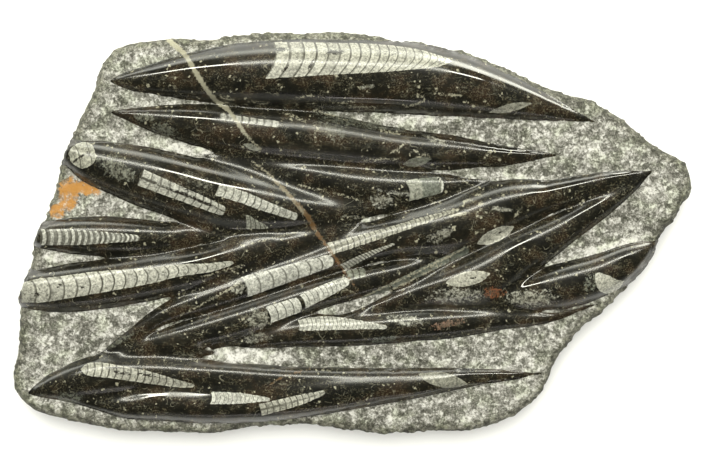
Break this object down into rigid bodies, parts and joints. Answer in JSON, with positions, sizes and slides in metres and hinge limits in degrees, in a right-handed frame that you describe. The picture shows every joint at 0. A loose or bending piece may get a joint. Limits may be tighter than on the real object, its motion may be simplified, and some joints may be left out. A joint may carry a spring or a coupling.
{
  "type": "orthoceras fossil plate",
  "caption": "Flat slab of black limestone carved into long pointed polished ridges on a pecked ground, with straight chambered fossils lying flush in the ridges.",
  "frame": {"origin": "centre of the plate's outline, on the sawn back that it lies on", "axes": "+X along the length towards the pointed end, +Y across the width, +Z out of the carved face"},
  "size_m": [0.3795, 0.2253, 0.0402],
  "materials": {
    "limestone": "polished on the ridges, pecked matt between them, broken at the rim, sawn on the back"
  },
  "bodies": {
    "root": {"orthoceras_plate": "limestone"}
  },
  "joints": []
}
